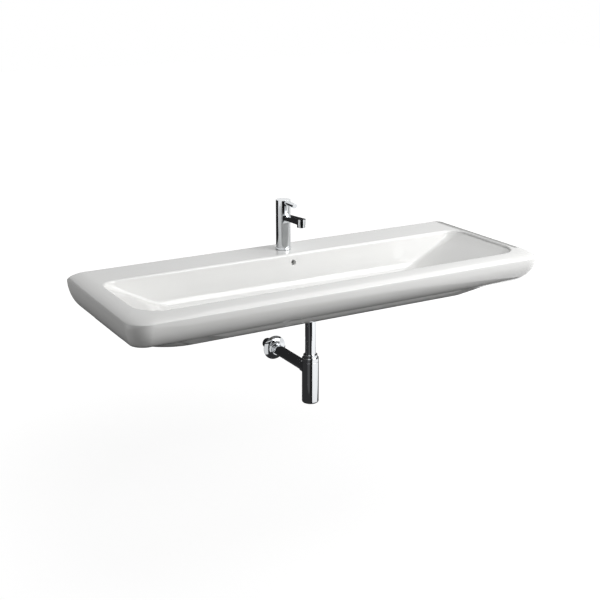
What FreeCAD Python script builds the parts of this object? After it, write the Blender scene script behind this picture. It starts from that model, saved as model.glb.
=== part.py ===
# Rectangular ceramic washbasin, wall hung, with its mixer tap, waste, bottle trap and wall bolts.
# Millimetres. X runs along the basin, Y towards the wall (the wall plane is y = 0), Z up.
# The origin is midway between the two inner wall bolts, in the wall plane.
import FreeCAD, Part
import math
import os
import Sketcher
from FreeCAD import Placement, Rotation, Vector

# Driving sizes, kept in one spreadsheet. Depths are below the deck, heights above it.
SIZES = {
    # ceramic: outside
    "basin_length": 1300,
    "basin_reach": 480,
    "rim_height": 65,
    "ridge_depth": 16,
    "ridge_corner": 60,
    "pillow_inset": 48,
    "shell_depth": 97,
    "shell_side_inset": 32.5,
    "shell_front_inset": 68,
    "shell_corner_loss": 20,
    "skirt_top_side_inset": 62,
    "skirt_top_front_inset": 74,
    "skirt_top_corner": 80,
    "skirt_depth": 140,
    "skirt_side_inset": 74,
    "skirt_front_inset": 143,
    "skirt_corner": 144,
    # ceramic: bowl
    "bowl_length": 1200,
    "bowl_back": 121,
    "bowl_front": 428,
    "bowl_depth": 113,
    "floor_length": 480,
    "floor_back": 172,
    "floor_front": 330,
    "bowl_back_corner": 50,
    "bowl_front_corner": 73,
    "bowl_edge_round": 7,
    # ceramic: walls and underside
    "ceramic_wall": 13,
    "deck_thickness": 16,
    "back_thickness": 16,
    "foot_width": 25,
    "hollow_corner": 14,
    # ceramic: holes
    "tap_setback": 60,
    "tap_hole_radius": 17.5,
    "overflow_radius": 8,
    "overflow_depth": 27,
    "duct_width": 28,
    "duct_gap": 8,
    "duct_wall": 9,
    "duct_setback": 97,
    "duct_height": 9,
    "duct_roof": 9,
    "drain_setback": 221,
    "drain_radius": 23,
    "recess_radius": 33,
    "recess_depth": 4,
    "boss_radius": 40,
    "boss_floor": 5,
    # wall fixing
    "inner_bolt_spacing": 280,
    "outer_bolt_spacing": 850,
    "fixing_hole_radius": 11,
    "bolt_radius": 5,
    "bolt_reach": 45,
    "wall_stud_radius": 4.5,
    "wall_stud_length": 52,
    "wall_stud_point": 8,
    "stud_tip_radius": 1,
    "collar_flange_radius": 17,
    "collar_flange": 3,
    "washer_radius": 14,
    "washer_thickness": 2,
    "wall_nut_across": 17,
    "wall_nut_height": 8,
    "play": 0.1,
    # tap body and spout, heights above the deck
    "tap_radius": 21.7,
    "base_gasket_height": 1,
    "base_ring_height": 5,
    "base_ring_radius": 23.25,
    "shank_radius": 16.8,
    "shank_bore": 14.3,
    "shank_gap": 2,
    "body_top": 107,
    "cartridge_seat": 64,
    "cartridge_bore": 17.5,
    "spout_reach": 119.5,
    "spout_width": 26,
    "spout_tip_top": 113.5,
    "spout_tip_under": 97,
    "spout_root_under": 95.5,
    "spout_blend_length": 17,
    "spout_blend_drop": 12,
    "spout_blend_radius": 17,
    "spout_tip_round": 12.4,
    "waterway_radius": 4,
    "waterway_height": 102,
    "port_radius": 4.5,
    "port_depth": 12,
    "port_spacing": 16,
    "port_offset": 5,
    "feed_radius": 3,
    # tap cartridge and lever
    "pivot_height": 90,
    "cap_sphere": 28.2,
    "cap_wall": 1.6,
    "cap_radius": 21.3,
    "cap_seat_radius": 18.5,
    "cap_opening": 12.7,
    "head_gap": 0.4,
    "tap_height": 151,
    "head_wall": 3.2,
    "head_roof": 15,
    "head_core_radius": 10,
    "head_core_gap": 1.3,
    "head_edge": 1,
    "foot_height": 6,
    "cartridge_wall_gap": 1.7,
    "cartridge_collar": 5,
    "cartridge_nut_height": 8,
    "cartridge_nut_recess": 1,
    "cartridge_floor_gap": 1,
    "carrier_gap": 0.3,
    "stem_slot_gap": 3.2,
    "nut_opening": 9.4,
    "carrier_radius": 10,
    "carrier_depth": 14,
    "carrier_slot": 14.4,
    "running_gap": 0.05,
    "stem_width": 8,
    "stem_thickness": 7,
    "stem_foot": 8,
    "stem_shoulder": 7,
    "stem_neck_radius": 3,
    "stem_grip": 12,
    "stem_side_gap": 0.15,
    "stem_pin_radius": 2,
    "lever_radius": 7,
    "lever_reach": 71,
    "lever_edge": 0.8,
    "lever_spigot_radius": 4,
    "lever_spigot": 9,
    "grub_radius": 2.5,
    "grub_length": 8,
    "grub_rise": 7,
    "plug_radius": 3,
    "plug_length": 2,
    "plug_inset": 0.2,
    # aerator
    "aerator_radius": 12.25,
    "aerator_drop": 9,
    "aerator_thread_radius": 11,
    "aerator_thread": 6.5,
    "aerator_bore": 9.5,
    "aerator_lip": 1.5,
    "aerator_lip_width": 0.9,
    "aerator_edge": 0.8,
    "aerator_seal_height": 1,
    "aerator_seal_width": 3.8,
    "insert_height": 12.5,
    "flow_hole_radius": 1.9,
    "flow_hole_circle": 5.7,
    # tap fixing
    "tap_stud_radius": 4,
    "tap_stud_offset": 9,
    "tap_stud_hole": 16,
    "tap_stud_length": 102,
    "horseshoe_radius": 24,
    "horseshoe_gasket_height": 2,
    "horseshoe_plate_height": 2.5,
    "horseshoe_gap": 27,
    "horseshoe_gap_end": 1.25,
    "tap_nut_across": 13,
    "tap_nut_height": 6.5,
    # waste
    "flange_gasket_height": 1,
    "flange_radius": 32,
    "flange_height": 2.7,
    "flange_edge": 1.2,
    "throat_radius": 19,
    "throat_depth": 5,
    "tail_radius": 20.9,
    "tail_bore": 17.5,
    "tail_length": 52,
    "slot_width": 14,
    "crossbar_width": 9,
    "crossbar_height": 6,
    "crossbar_rise": 4,
    "click_radius": 8,
    "click_height": 32,
    "click_screw_radius": 3.5,
    "click_bore_depth": 30,
    "plug_stem_radius": 4,
    "plug_stem_length": 42,
    "plug_disc_radius": 28,
    "plug_disc_edge": 1.6,
    "plug_dome_radius": 118,
    "plug_socket": 2,
    "plug_travel": 6,
    "plug_seal_height": 2,
    "plug_seal_width": 3.5,
    "plug_seat_gap": 0.3,
    "boss_gasket_height": 3,
    "boss_gasket_radius": 36,
    "backnut_across": 62,
    "backnut_height": 8,
    "union_seal_height": 2,
    "union_seal_width": 5,
    "union_nut_radius": 25.5,
    "union_nut_height": 20,
    "union_lip": 3.5,
    "nut_edge": 1,
    # trap
    "pipe_radius": 16,
    "pipe_wall": 1.2,
    "pipe_collar_radius": 20.3,
    "pipe_collar": 2.5,
    "dip_drop": 73,
    "slip_nut_radius": 21,
    "slip_nut_height": 10,
    "slip_nut_lip": 4,
    "slip_seal_height": 3,
    "neck_radius": 19,
    "bottle_radius": 25,
    "bottle_wall": 2.5,
    "bottle_rise": 39,
    "bottle_roof": 6,
    "bottle_edge": 0.7,
    "bottle_line_drop": 11.5,
    "bottle_line_width": 1,
    "bottle_line_depth": 0.6,
    "seam_drop": 21,
    "cup_thread": 15,
    "cup_thread_wall": 2.2,
    "cup_drop": 102.5,
    "cup_floor": 3,
    "cup_round": 5,
    "cup_seal_height": 1.5,
    "cup_seal_width": 1.7,
    "outlet_drop": 267,
    "socket_radius": 18.5,
    "socket_length": 12,
    "socket_stop": 17.5,
    "socket_lip": 1,
    "socket_seal_offset": 7,
    "socket_seal_width": 2.5,
    "socket_seal_height": 1.3,
    "wall_tube_reach": 50,
    "tube_groove_start": 8,
    "tube_groove_width": 1.5,
    "tube_groove_depth": 0.5,
    "rosette_radius": 38,
    "rosette_rim": 1.5,
    "rosette_depth": 9,
    "rosette_dome_radius": 22,
    "rosette_arc": 40,
    "rosette_neck": 18.5,
    "rosette_neck_start": 12,
    "rosette_neck_end": 22,
    "rosette_wall": 1.2,
    "rosette_inner_rim": 0.9,
    "rosette_inner_depth": 6.6,
    "tube_play": 0.3,
    # one overrun for every cut that must pass right through
    "overrun": 20,
}

FLOW_HOLES = 6

# Outlines as shares, chosen by hand.
# pillow: inset share of pillow_inset, depth share of ridge_depth
PILLOW_SHARES = [(1, 0), (0.79, 0.044), (0.583, 0.138), (0.375, 0.288), (0.21, 0.47), (0.083, 0.72),
                 (0.022, 0.88), (0, 1)]
# shell under the ridge: depth share, then inset shares at the side and at the front
SHELL_SHARES = [(0, 0, 0), (0.074, 0.012, 0.008), (0.222, 0.045, 0.035), (0.37, 0.132, 0.103),
                (0.519, 0.25, 0.206), (0.667, 0.412, 0.365), (0.79, 0.588, 0.54), (0.889, 0.765, 0.73),
                (1, 1, 1)]
# bowl wall: depth share; shares of the way to the floor at the ends, back and front; corner shares
BOWL_SHARES = [(0.062, 0, 0, 0, 1, 1), (0.106, 0.03, 0.01, 0.01, 0.72, 0.88),
               (0.177, 0.069, 0.02, 0.02, 0.52, 0.8), (0.265, 0.13, 0.035, 0.035, 0.38, 0.69),
               (0.354, 0.193, 0.056, 0.059, 0.3, 0.6), (0.442, 0.25, 0.08, 0.085, 0.28, 0.55),
               (0.531, 0.309, 0.105, 0.119, 0.27, 0.53), (0.619, 0.36, 0.14, 0.16, 0.27, 0.52),
               (0.708, 0.419, 0.185, 0.218, 0.28, 0.51), (0.788, 0.47, 0.25, 0.3, 0.3, 0.52),
               (0.85, 0.526, 0.333, 0.386, 0.34, 0.53), (0.9, 0.575, 0.45, 0.48, 0.38, 0.56),
               (0.94, 0.64, 0.593, 0.604, 0.44, 0.6), (0.972, 0.73, 0.74, 0.75, 0.52, 0.64),
               (0.992, 0.85, 0.87, 0.88, 0.62, 0.72), (1, 1, 1, 1, 0.77, 0.8)]
# quarter round at the bowl's edge: depth and outward shares of its radius
EDGE_SHARES = [(0, 1), (0.076, 0.617), (0.293, 0.293), (0.617, 0.076)]

doc = FreeCAD.newDocument("washbasin")
sheet = doc.addObject("Spreadsheet::Sheet", "sizes")
for row, (name, number) in enumerate(SIZES.items(), 1):
    sheet.set(f"A{row}", name)
    sheet.set(f"B{row}", str(number))
    sheet.setAlias(f"B{row}", name)
doc.recompute()


class Measure:
    """A size worked out from the spreadsheet: its formula there and its number now."""

    def __init__(self, formula, number):
        self.formula = formula
        self.number = number

    def __add__(self, other):
        return combined(self, "+", other)

    def __sub__(self, other):
        return combined(self, "-", other)

    def __rsub__(self, other):
        return combined(other, "-", self)

    def __mul__(self, other):
        return combined(self, "*", other)

    def __truediv__(self, other):
        return combined(self, "/", other)

    def __neg__(self):
        return combined(0, "-", self)


def measured(value):
    return value if isinstance(value, Measure) else Measure(repr(value), value)


def combined(left, sign, right):
    left, right = measured(left), measured(right)
    number = {
        "+": lambda: left.number + right.number,
        "-": lambda: left.number - right.number,
        "*": lambda: left.number * right.number,
        "/": lambda: left.number / right.number,
    }[sign]()
    return Measure(f"({left.formula} {sign} {right.formula})", number)


def root(value):
    return Measure(f"sqrt({value.formula})", math.sqrt(value.number))


def leg(slant, side):
    """The other short side of a right triangle."""
    return root(slant * slant - side * side)


class Cells:
    """Each cell of the spreadsheet by its alias."""

    def __getattr__(self, name):
        return Measure(f"sizes.{name}", float(sheet.get(name)))


s = Cells()
ZERO = measured(0)
UP = Rotation()
TO_WALL = Rotation(Vector(1, 0, 0), -90)
TO_ROOM = Rotation(Vector(1, 0, 0), 90)
TO_RIGHT = Rotation(Vector(0, 1, 0), 90)


def bind(target, field, value):
    target.setExpression(field, value.formula)


def put(target, place, turn=UP, field="Placement"):
    """Set a placement whose origin follows the sizes."""
    setattr(target, field, Placement(Vector(*(p.number for p in place)), turn))
    for letter, value in zip("xyz", place):
        bind(target, f"{field}.Base.{letter}", value)


def new_body(label, place=(ZERO, ZERO, ZERO), turn=UP):
    body = doc.addObject("PartDesign::Body", label)
    body.Label = label
    put(body, place, turn)
    return body


def new_sketch(body, name, plane, offset=(ZERO, ZERO, ZERO)):
    sketch = body.newObject("Sketcher::SketchObject", name)
    support = [o for o in body.Origin.OriginFeatures if o.Role == plane][0]
    sketch.AttachmentSupport = [(support, "")]
    sketch.MapMode = "FlatFace"
    put(sketch, offset, UP, "AttachmentOffset")
    return sketch


def dimension(sketch, kind, line, point, value):
    """Fix a coordinate of a sketch point by a formula, or lay the point on the axis where it is zero."""
    if kind != "Radius" and value.formula == ZERO.formula:
        axis = -2 if kind == "DistanceX" else -1
        sketch.addConstraint(Sketcher.Constraint("PointOnObject", line, point, axis))
        return
    if kind == "Radius":
        rule = Sketcher.Constraint(kind, line, value.number)
    else:
        rule = Sketcher.Constraint(kind, line, point, value.number)
    number = sketch.addConstraint(rule)
    bind(sketch, f"Constraints[{number}]", value)


def arc_between(start, end, radius, side):
    """The short arc from start to end that bulges to the left (side 1) or right (side -1).

    A sketch keeps its arcs anticlockwise, so one that bulges to the left is drawn from its end."""
    chord = end - start
    normal = Vector(-chord.y, chord.x, 0)
    normal.normalize()
    rise = radius - math.sqrt(max(radius * radius - chord.Length ** 2 / 4, 0))
    middle = (start + end) * 0.5 + normal * (rise * side)
    return Part.Arc(end, middle, start) if side > 0 else Part.Arc(start, middle, end)


def draw(sketch, points):
    """A closed outline of (across, up) points; a third and fourth entry bend the next side."""
    count = len(points)
    spots = [Vector(p[0].number, p[1].number, 0) for p in points]
    for i, point in enumerate(points):
        start, end = spots[i], spots[(i + 1) % count]
        if len(point) > 2:
            sketch.addGeometry(arc_between(start, end, point[2].number, point[3]), False)
        else:
            sketch.addGeometry(Part.LineSegment(start, end), False)
    ends = [(2, 1) if len(point) > 2 and point[3] > 0 else (1, 2) for point in points]
    for i in range(count):
        after = (i + 1) % count
        joint = Sketcher.Constraint("Coincident", i, ends[i][1], after, ends[after][0])
        sketch.addConstraint(joint)
    for i, point in enumerate(points):
        dimension(sketch, "DistanceX", i, ends[i][0], point[0])
        dimension(sketch, "DistanceY", i, ends[i][0], point[1])
        if len(point) > 2:
            dimension(sketch, "Radius", i, None, point[2])


def spin(body, name, points, plane="XZ_Plane", axis="V_Axis", offset=(ZERO, ZERO, ZERO)):
    """Turn an outline about a sketch axis."""
    sketch = new_sketch(body, name + "_outline", plane, offset)
    draw(sketch, points)
    feature = body.newObject("PartDesign::Revolution", name)
    feature.Profile = sketch
    feature.ReferenceAxis = (sketch, [axis])
    feature.Angle = 360
    return feature


def turned(label, place, points, turn=UP):
    """A piece turned on a lathe: (radius, height) points about its own axis."""
    body = new_body(label, place, turn)
    spin(body, label + "_turning", points)
    return body


def ring(label, place, bore, radius, bottom, top, turn=UP):
    return turned(label, place, [(bore, bottom), (radius, bottom), (radius, top), (bore, top)], turn)


def cylinder(body, name, radius, place, height, turn=UP, cut=True):
    feature = body.newObject("PartDesign::SubtractiveCylinder" if cut
                             else "PartDesign::AdditiveCylinder", name)
    bind(feature, "Radius", radius)
    bind(feature, "Height", height)
    put(feature, place, turn)
    return feature


def block(body, name, low, high, cut=True):
    """A box from its low corner to its high corner."""
    feature = body.newObject("PartDesign::SubtractiveBox" if cut else "PartDesign::AdditiveBox", name)
    for field, a, b in zip(("Length", "Width", "Height"), low, high):
        bind(feature, field, b - a)
    put(feature, low)
    return feature


def hexagon_nut(label, place, across, hole, bottom, top, turn=UP):
    """A six-sided nut with its bore."""
    body = new_body(label, place, turn)
    sketch = new_sketch(body, label + "_outline", "XY_Plane", (ZERO, ZERO, bottom))
    half, corner = across / 2, across / root(measured(3))
    draw(sketch, [(corner, ZERO), (corner / 2, half), (-(corner / 2), half), (-corner, ZERO),
                  (-(corner / 2), -half), (corner / 2, -half)])
    circle = sketch.addGeometry(Part.Circle(Vector(), Vector(0, 0, 1), hole.number), False)
    sketch.addConstraint(Sketcher.Constraint("Coincident", circle, 3, -1, 1))
    dimension(sketch, "Radius", circle, None, hole)
    pad = body.newObject("PartDesign::Pad", label + "_pad")
    pad.Profile = sketch
    bind(pad, "Length", top - bottom)
    return body


def rounded_outline(body, name, height, half, back, front, back_corner, front_corner):
    """A level outline, even about the YZ plane; with no back corner radius its back is square."""
    sketch = new_sketch(body, name, "XY_Plane", (ZERO, ZERO, height))
    h, yb, yf, rf = half.number, back.number, front.number, front_corner.number
    rb = back_corner.number if back_corner else 0

    def line(x1, y1, x2, y2):
        return sketch.addGeometry(Part.LineSegment(Vector(x1, y1, 0), Vector(x2, y2, 0)), False)

    def corner(x, y, radius, first):
        circle = Part.Circle(Vector(x, y, 0), Vector(0, 0, 1), radius)
        arc = Part.ArcOfCircle(circle, math.radians(first), math.radians(first + 90))
        return sketch.addGeometry(arc, False)

    def join(kind, *ends):
        sketch.addConstraint(Sketcher.Constraint(kind, *ends))

    top = line(-h + rb, yb, h - rb, yb)
    top_right = corner(h - rb, yb - rb, rb, 0) if back_corner else None
    right = line(h, yb - rb, h, yf + rf)
    low_right = corner(h - rf, yf + rf, rf, 270)
    low = line(h - rf, yf, -h + rf, yf)
    low_left = corner(-h + rf, yf + rf, rf, 180)
    left = line(-h, yf + rf, -h, yb - rb)
    if back_corner:
        top_left = corner(-h + rb, yb - rb, rb, 90)
        join("Tangent", top, 2, top_right, 2)
        join("Tangent", top_right, 1, right, 1)
        join("Tangent", left, 2, top_left, 2)
        join("Tangent", top_left, 1, top, 1)
        join("Equal", top_right, top_left)
        dimension(sketch, "Radius", top_right, None, back_corner)
    else:
        join("Coincident", top, 2, right, 1)
        join("Coincident", left, 2, top, 1)
    join("Tangent", right, 2, low_right, 2)
    join("Tangent", low_right, 1, low, 1)
    join("Tangent", low, 2, low_left, 2)
    join("Tangent", low_left, 1, left, 1)
    join("Equal", low_right, low_left)
    join("Horizontal", top)
    join("Horizontal", low)
    join("Vertical", right)
    join("Vertical", left)
    dimension(sketch, "DistanceX", right, 1, half)
    dimension(sketch, "DistanceX", left, 1, -half)
    dimension(sketch, "DistanceY", low, 1, front)
    dimension(sketch, "DistanceY", top, 1, back)
    dimension(sketch, "Radius", low_right, None, front_corner)
    return sketch


def loft(body, name, sections, cut=False):
    feature = body.newObject("PartDesign::SubtractiveLoft" if cut else "PartDesign::AdditiveLoft", name)
    feature.Profile = sections[0]
    feature.Sections = sections[1:]
    feature.Ruled = True
    return feature


def round_edges(body, name, radius, wanted):
    """Fillet the edges whose ends all pass the test."""
    doc.recompute()
    base = body.Tip
    names = []
    for i, edge in enumerate(base.Shape.Edges, 1):
        if len(edge.Vertexes) == 2 and wanted(edge):
            names.append(f"Edge{i}")
    feature = body.newObject("PartDesign::Fillet", name)
    feature.Base = (base, names)
    bind(feature, "Radius", radius)
    return feature


# Places that several pieces share
HALF_LENGTH = s.basin_length / 2
TAP = (ZERO, -s.tap_setback, s.rim_height)
DRAIN = (ZERO, -s.drain_setback, ZERO)
FLOOR = s.rim_height - s.bowl_depth
RECESS = FLOOR - s.recess_depth
BOSS_BOTTOM = RECESS - s.duct_roof - s.duct_height - s.boss_floor
DUCT_LOW = BOSS_BOTTOM + s.boss_floor
DUCT_HIGH = DUCT_LOW + s.duct_height
FLANGE_LOW = RECESS + s.flange_gasket_height
FLANGE_TOP = FLANGE_LOW + s.flange_height
TAIL_END = FLANGE_TOP - s.tail_length
DECK_UNDER = -s.deck_thickness
PORT_LEVEL = s.base_gasket_height + s.base_ring_height
OUTLET = -s.outlet_drop
BOTTLE_TOP = OUTLET + s.bottle_rise
SLIP_NUT_TOP = BOTTLE_TOP + s.slip_nut_height
SEAM = OUTLET - s.seam_drop


def shell_row(shares):
    """Depth, side inset, front inset and corner radius of one outline of the shell."""
    depth, side, front = shares
    return (s.ridge_depth + (s.shell_depth - s.ridge_depth) * depth, s.shell_side_inset * side,
            s.shell_front_inset * front, s.ridge_corner - s.shell_corner_loss * depth)


def outside(body, name, depth, side, front, corner):
    return rounded_outline(body, name, s.rim_height - depth, HALF_LENGTH - side, s.overrun,
                           front - s.basin_reach, None, corner)


def inside(body, name, depth, side, front, corner):
    return rounded_outline(body, name, s.rim_height - depth, HALF_LENGTH - side, -s.back_thickness,
                           front - s.basin_reach, s.hollow_corner, corner)


def bowl_outline(body, name, shares, wall):
    depth, ends, back, front, back_corner, front_corner = shares
    return rounded_outline(body, name, s.rim_height - (s.bowl_depth + wall) * depth,
                           s.bowl_length / 2 - (s.bowl_length - s.floor_length) / 2 * ends + wall,
                           wall - s.bowl_back - (s.floor_back - s.bowl_back) * back,
                           (s.bowl_front - s.floor_front) * front - s.bowl_front - wall,
                           s.bowl_back_corner * back_corner + wall,
                           s.bowl_front_corner * front_corner + wall)


def edge_outline(body, name, depth, outward):
    """The bowl's outline where its edge rounds over into the deck."""
    reach = s.bowl_edge_round * outward
    return rounded_outline(body, name, s.rim_height - s.bowl_edge_round * depth,
                           s.bowl_length / 2 + reach, reach - s.bowl_back, -s.bowl_front - reach,
                           s.bowl_back_corner + reach, s.bowl_front_corner + reach)


def add_outer_form(body):
    pillow = [outside(body, f"pillow_{i}", s.ridge_depth * depth, s.pillow_inset * inset,
                      s.pillow_inset * inset, s.ridge_corner)
              for i, (inset, depth) in enumerate(PILLOW_SHARES)]
    loft(body, "pillow", pillow)
    shell = [outside(body, f"shell_{i}", *shell_row(row)) for i, row in enumerate(SHELL_SHARES)]
    loft(body, "shell", shell)
    foot = outside(body, "skirt_foot", s.skirt_depth, s.skirt_side_inset, s.skirt_front_inset,
                   s.skirt_corner)
    top = outside(body, "skirt_top", s.shell_depth, s.skirt_top_side_inset, s.skirt_top_front_inset,
                  s.skirt_top_corner)
    loft(body, "skirt", [top, foot])
    block(body, "wall_plane_cut", (-s.basin_length, ZERO, s.rim_height - s.skirt_depth - s.overrun),
          (s.basin_length, s.overrun + s.overrun, s.rim_height + s.overrun))


def add_hollow(body):
    """The open underside, one wall inside the outer form."""
    wall = s.ceramic_wall
    sections = [inside(body, "hollow_top", s.deck_thickness, wall + wall, wall + wall,
                       s.ridge_corner - wall - wall)]
    for i, shares in enumerate(SHELL_SHARES[2:-1:2]):
        depth, side, front, corner = shell_row(shares)
        sections.append(inside(body, f"hollow_{i}", depth, side + wall, front + wall, corner - wall))
    sections.append(inside(body, "hollow_neck", s.shell_depth - wall, s.skirt_top_side_inset + wall,
                           s.skirt_top_front_inset + wall, s.skirt_top_corner - wall))
    sections.append(inside(body, "hollow_foot", s.skirt_depth, s.skirt_side_inset + s.foot_width,
                           s.skirt_front_inset + s.foot_width, s.skirt_corner - s.foot_width))
    loft(body, "hollow", sections, cut=True)


def add_bowl(body):
    skin = [bowl_outline(body, f"skin_{i}", row, s.ceramic_wall)
            for i, row in enumerate(BOWL_SHARES[1::2])]
    loft(body, "bowl_skin", skin)
    add_overflow_duct(body)
    top = rounded_outline(body, "bowl_clear", s.rim_height + s.overrun,
                          s.bowl_length / 2 + s.bowl_edge_round, s.bowl_edge_round - s.bowl_back,
                          -s.bowl_front - s.bowl_edge_round, s.bowl_back_corner + s.bowl_edge_round,
                          s.bowl_front_corner + s.bowl_edge_round)
    walls = [top] + [edge_outline(body, f"edge_{i}", *row) for i, row in enumerate(EDGE_SHARES)]
    walls += [bowl_outline(body, f"bowl_{i}", row, ZERO) for i, row in enumerate(BOWL_SHARES)]
    loft(body, "bowl", walls, cut=True)


def add_overflow_duct(body):
    """The housing behind and under the bowl that leads the overflow to the drain."""
    side = s.duct_width / 2 + s.duct_wall
    back = s.duct_wall - s.duct_setback
    front = -s.duct_setback - s.duct_gap - s.duct_wall
    block(body, "duct_drop", (-side, front, BOSS_BOTTOM), (side, back, s.rim_height - s.deck_thickness),
          cut=False)
    block(body, "duct_run", (-side, -s.drain_setback, BOSS_BOTTOM), (side, back, DUCT_HIGH + s.duct_wall),
          cut=False)
    cylinder(body, "drain_boss", s.boss_radius, (ZERO, -s.drain_setback, BOSS_BOTTOM),
             FLOOR - BOSS_BOTTOM, cut=False)


def cut_holes(body):
    side = s.duct_width / 2
    overflow = s.rim_height - s.overflow_depth
    block(body, "duct_drop_bore", (-side, -s.duct_setback - s.duct_gap, DUCT_LOW),
          (side, -s.duct_setback, overflow + s.overflow_radius))
    block(body, "duct_run_bore", (-side, -s.drain_setback, DUCT_LOW), (side, -s.duct_setback, DUCT_HIGH))
    cylinder(body, "overflow_hole", s.overflow_radius,
             (ZERO, -s.duct_setback - s.duct_gap / 2, overflow), s.bowl_back - s.duct_setback,
             turn=TO_ROOM)
    cylinder(body, "drain_recess", s.recess_radius, (ZERO, -s.drain_setback, RECESS), s.overrun)
    cylinder(body, "drain_bore", s.drain_radius, (ZERO, -s.drain_setback, BOSS_BOTTOM - s.overrun),
             RECESS - BOSS_BOTTOM + s.overrun + s.overrun)
    cylinder(body, "tap_hole", s.tap_hole_radius, (ZERO, -s.tap_setback, s.rim_height - s.deck_thickness
                                                   - s.overrun), s.deck_thickness + s.overrun * 2)
    for i, x in enumerate(bolt_places()):
        cylinder(body, f"fixing_hole_{i}", s.fixing_hole_radius, (x, -s.back_thickness - s.overrun, ZERO),
                 s.back_thickness + s.overrun * 2, turn=TO_WALL)


def bolt_places():
    inner, outer = s.inner_bolt_spacing / 2, s.outer_bolt_spacing / 2
    return (-outer, -inner, inner, outer)


def basin_body():
    body = new_body("basin_body")
    add_outer_form(body)
    add_hollow(body)
    add_bowl(body)
    cut_holes(body)
    return body


def in_four_places(piece, label):
    """The same wall fixing piece at each of the four bolts, as one group of separate solids."""
    piece.Label = label + "_first"
    first, *others = bolt_places()
    bind(piece, "Placement.Base.x", first)
    links = [piece]
    for i, x in enumerate(others):
        link = doc.addObject("App::Link", f"{label}_{i}")
        link.LinkedObject = piece
        link.LinkTransform = False
        link.Placement = piece.Placement
        put(link, (x, ZERO, ZERO), piece.Placement.Rotation)
        links.append(link)
    group = doc.addObject("Part::Compound", label)
    group.Label = label
    group.Links = links
    return group


def hanger_bolts():
    bolt = turned("hanger_bolt", (ZERO, ZERO, ZERO), [
        (ZERO, -s.bolt_reach), (s.bolt_radius, -s.bolt_reach), (s.bolt_radius, ZERO),
        (s.wall_stud_radius, ZERO), (s.wall_stud_radius, s.wall_stud_length),
        (s.stud_tip_radius, s.wall_stud_length + s.wall_stud_point),
        (ZERO, s.wall_stud_length + s.wall_stud_point)], TO_WALL)
    return in_four_places(bolt, "hanger_bolts")


def fixing_collars():
    face = -s.back_thickness
    collar = turned("fixing_collar", (ZERO, ZERO, ZERO), [
        (s.bolt_radius + s.play, face - s.collar_flange), (s.collar_flange_radius, face - s.collar_flange),
        (s.collar_flange_radius, face), (s.fixing_hole_radius - s.play, face),
        (s.fixing_hole_radius - s.play, ZERO), (s.bolt_radius + s.play, ZERO)], TO_WALL)
    return in_four_places(collar, "fixing_collars")


def fixing_washers():
    face = -s.back_thickness - s.collar_flange
    washer = ring("fixing_washer", (ZERO, ZERO, ZERO), s.bolt_radius + s.play, s.washer_radius,
                  face - s.washer_thickness, face, TO_WALL)
    return in_four_places(washer, "fixing_washers")


def fixing_nuts():
    face = -s.back_thickness - s.collar_flange - s.washer_thickness
    nut = hexagon_nut("fixing_nut", (ZERO, ZERO, ZERO), s.wall_nut_across, s.bolt_radius,
                      face - s.wall_nut_height, face, TO_WALL)
    return in_four_places(nut, "fixing_nuts")


def base_gasket():
    return ring("base_gasket", TAP, s.shank_radius + s.play, s.tap_radius, ZERO, s.base_gasket_height)


def base_ring():
    bottom, top = s.base_gasket_height, PORT_LEVEL
    edge = s.base_ring_radius - s.tap_radius
    return turned("base_ring", TAP, [
        (s.shank_radius + s.play, bottom), (s.base_ring_radius, bottom),
        (s.base_ring_radius, top - edge), (s.tap_radius, top), (s.shank_radius + s.play, top)])


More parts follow.
